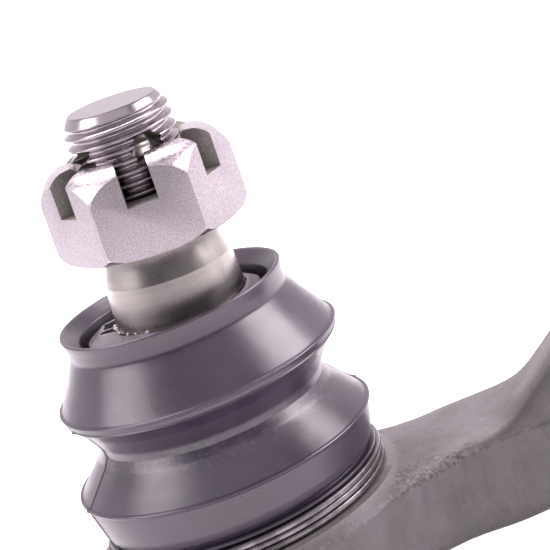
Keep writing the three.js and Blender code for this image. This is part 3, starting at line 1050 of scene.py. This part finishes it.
def add_stud():
    ball = 11.0
    flat = 9.8
    neck = 6.0
    foot_radius = math.sqrt(ball ** 2 - flat ** 2)
    low = math.atan2(-flat, foot_radius)
    high = math.acos(neck / ball)
    arc = [(ball * math.cos(a), ball * math.sin(a)) for a in np.linspace(low, high, 36)]
    shaft = rounded([
        (neck, ball * math.sin(high), 0), (neck, 20, 1.5), (8.0, 25, 1.0), (7.36, 38.0, 0.1),
        (6.5, 41.2, 0.3), (6.05, 41.4, 0.1), (6.0, 42.4, 0),
    ])
    top = STUD_TOP["height"]
    rows = refined([(0, -flat)] + arc + shaft[1:], 1.5)
    rows += [(6.0, z) for z in np.arange(42.5, top - 0.12, 0.08)]
    rows += [(STUD_TOP["radius"], top - 0.05), (STUD_TOP["radius"] - 0.05, top), (0, top)]

    def shape(angle, radius, height):
        cut = thread_radius(STUD_THREAD, angle, height)
        chamfer = STUD_TOP["radius"] + (top - height) * STUD_TOP["flare"]
        on_thread = (height > 42.4) & (height < top - 0.06)
        radius = np.where(on_thread, np.minimum(cut, chamfer), radius)
        return radius * np.cos(angle), radius * np.sin(angle), height

    piece = turned("ball_stud_turned", rows, 240, shape=shape)
    for degrees in PIN_HOLES["angles"]:
        combine(piece, pin_drill(math.radians(degrees)))
    paint(piece, turned_steel(), threaded_steel(), drilled_steel())
    for face in piece.data.polygons:
        face.material_index = stud_finish(face)
    smooth(piece, 40)
    soften_thread(piece)
    piece.matrix_world = STUD_FRAME
    settle(piece, "stud", "turned_steel", "ball_stud")


def soften_thread(piece):
    """The thread's crests are rolled, so they are smooth."""
    vertices = piece.data.vertices
    for edge in piece.data.edges:
        x, y, z = (vertices[edge.vertices[0]].co + vertices[edge.vertices[1]].co) / 2 / MM
        if 42.8 < z < STUD_TOP["height"] - 0.3 and math.hypot(x, y) > 5.2:
            edge.use_edge_sharp = False


def stud_finish(face):
    """0 on the turned shaft and ball, 1 on the thread, 2 inside the cross holes."""
    x, y, z = face.center / MM
    if z < 42.4:
        return 0
    inside = math.hypot(x, y) < 5.25 and abs(z - PIN_HOLES["height"]) < PIN_HOLES["radius"] + 0.05
    return 2 if inside else 1


def pin_drill(angle):
    reach = 9
    drill = turned("drill", rounded([
        (0, -reach, 0), (PIN_HOLES["radius"], -reach, 0), (PIN_HOLES["radius"], reach, 0), (0, reach, 0),
    ]), 48)
    drill.data.transform(
        Matrix.Translation((0, 0, PIN_HOLES["height"] * MM))
        @ Matrix.Rotation(angle, 4, "Z") @ Matrix.Rotation(math.radians(90), 4, "Y")
    )
    return drill


def nut_envelope():
    """The turned shape that the hexagon is cut to: domed at both ends, most at the corners."""
    n = NUT
    reach = n["across_flats"] / 2 / math.cos(math.radians(30)) + 0.02
    power = 2 / n["squareness"]

    def dome(face, depth, level, direction):
        return [
            (
                face + (reach - face) * math.sin(a) ** power,
                level - direction * depth * (1 - math.cos(a) ** power),
            )
            for a in np.radians(np.linspace(0, 89.9, 14))
        ]

    bottom = dome(n["bottom_face"], n["bottom_rise"], n["bottom"], -1)
    top = dome(n["top_face"], n["top_drop"], n["top"], 1)
    return turned("envelope", [(0, n["bottom"])] + bottom + top[::-1] + [(0, n["top"])], 160)


def add_nut():
    n = NUT
    corner = n["across_flats"] / 2 / math.cos(math.radians(30))
    bottom, top, bore = n["bottom"], n["top"], n["bore"]
    piece = turned("castle_nut_plated", [
        (0, bottom - 1), (corner, bottom - 1), (corner, top + 1), (0, top + 1),
    ], 6)
    combine(piece, nut_envelope(), "INTERSECT")
    combine(piece, turned("bore", [
        (0, bottom - 1), (bore + 1.5, bottom - 1), (bore, bottom + 0.5), (bore, top - 0.45),
        (bore + 1.45, top + 1), (0, top + 1),
    ], 128))
    for pair in range(3):
        half = n["slot_width"] / 2
        slot = box("slot", (-half, -15, n["slot_floor"]), (half, 15, top + 1))
        slot.data.transform(Matrix.Rotation(math.radians(60 * pair), 4, "Z"))
        combine(piece, slot)
    bevel = piece.modifiers.new("bevel", "BEVEL")
    bevel.width = 0.13 * MM
    bevel.segments = 2
    bevel.limit_method = "ANGLE"
    bevel.angle_limit = math.radians(24)
    bevel.use_clamp_overlap = True
    bake(piece)
    paint(piece, plated_turned(), plated_flats(), milled_slots())
    for face in piece.data.polygons:
        face.material_index = nut_finish(face)
    smooth(piece, 30)
    piece.matrix_world = STUD_FRAME @ Matrix.Rotation(math.radians(n["turn"]), 4, "Z")
    settle(piece, "nut", "plated_steel", "castle_nut")


def nut_finish(face):
    """0 on turned faces, 1 on the hexagon's flats, 2 in the slots."""
    upright = abs(face.normal.z) < 0.1
    centre = face.center / MM
    reach = max(
        abs(centre.x * math.cos(math.radians(a)) + centre.y * math.sin(math.radians(a)))
        for a in (30, 90, 150)
    )
    if upright and reach > NUT["across_flats"] / 2 - 0.01:
        return 1
    in_slot = centre.z > NUT["slot_floor"] - 0.05 and centre.xy.length > NUT["bore"] + 0.05
    on_floor = centre.z < NUT["slot_floor"] + 0.05
    return 2 if in_slot and (upright or on_floor) else 0


# ---- Hidden pieces keep their CAD shape ------------------------------------------------------

def finish_hidden_pieces():
    paint(frame["nodes"]["disc_spring"], spring_steel())
    resin = seat_resin()
    paint(frame["nodes"]["lower_ball_seat"], resin)
    paint(frame["nodes"]["upper_ball_seat"], resin)


add_camera()
add_stage()
add_housing()
add_cover()
add_clamp_ring()
rubber = boot_rubber()
seam = boot_seam_shade()
add_lower_bellow(rubber, seam)
add_upper_bellow(rubber, seam)
add_top_ring()
add_grease()
add_stud()
add_nut()
finish_hidden_pieces()
